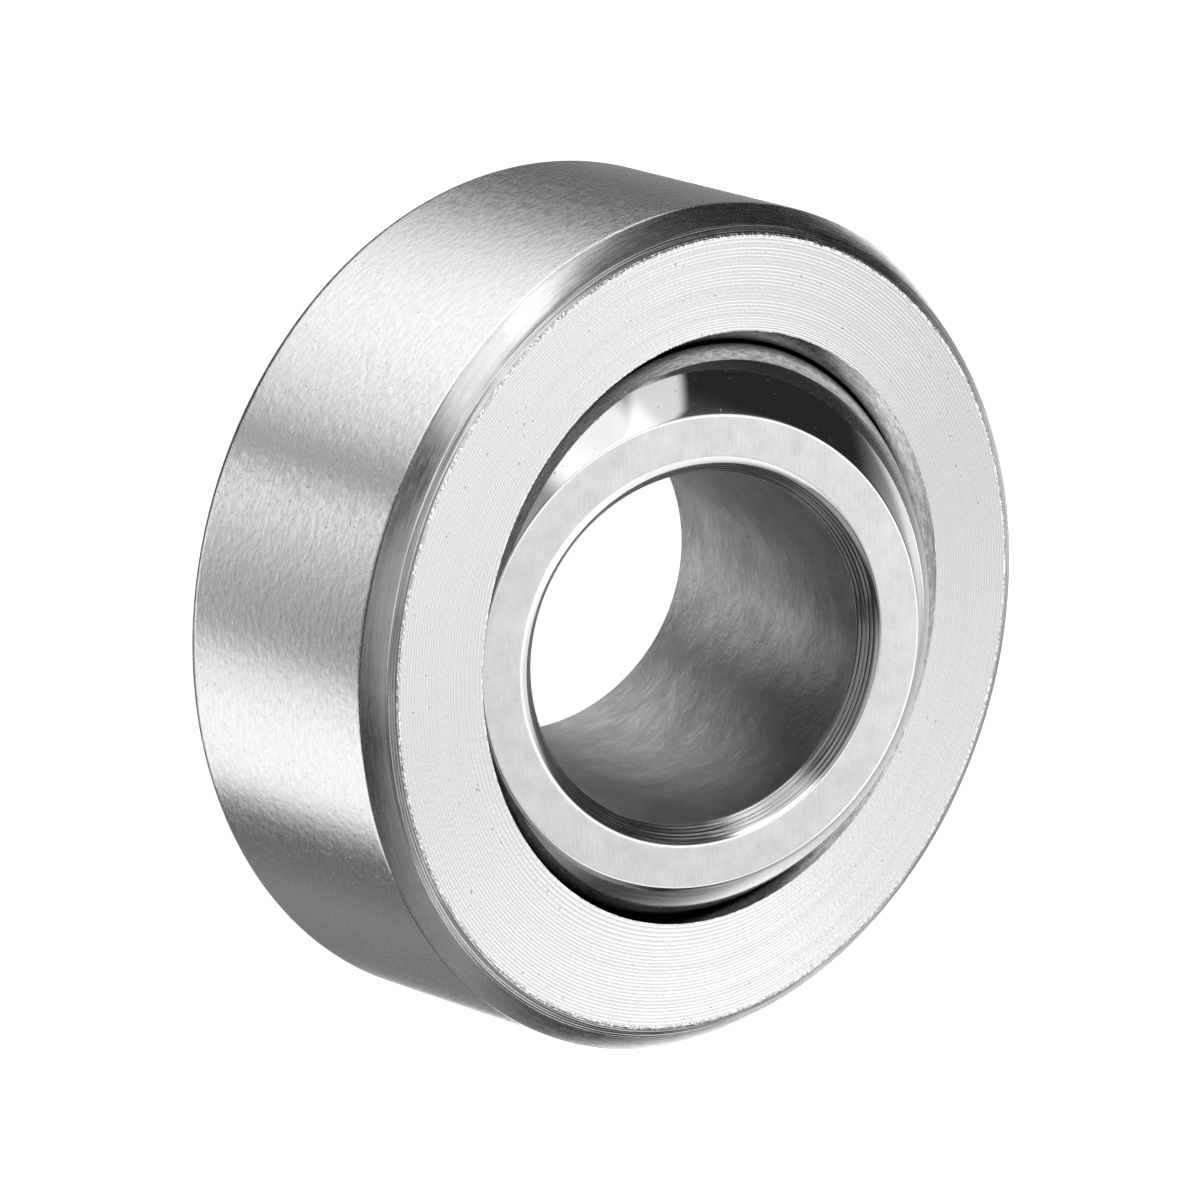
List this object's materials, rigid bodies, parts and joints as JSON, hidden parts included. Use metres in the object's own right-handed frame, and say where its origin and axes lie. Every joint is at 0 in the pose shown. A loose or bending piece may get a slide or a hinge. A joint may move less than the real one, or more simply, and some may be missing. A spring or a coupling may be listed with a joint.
{
  "type": "spherical plain bearing",
  "caption": "Metal-on-metal spherical plain bearing: steel outer ring closed round a polished ball ring with a shaft bore, tilted on the ball as stored.",
  "frame": {"origin": "centre of the ball, which both rings share", "axes": "+Z along the bore of the inner ring; the outer ring is tilted 15.25 degrees about +X, so its axis leans towards -Y"},
  "size_m": [0.019, 0.0198, 0.0112],
  "materials": {
    "outer_steel": "satin",
    "ball_steel": "polished"
  },
  "bodies": {
    "inner_ring": {"inner_ring": "ball_steel"},
    "outer_ring": {"outer_ring": "outer_steel"}
  },
  "joints": [
    {"name": "tilt", "type": "hinge", "parent": "inner_ring", "child": "outer_ring", "pos_m": [0, 0, 0], "axis": [1, 0, 0], "range_deg": [-31.75, 1.25]}
  ]
}
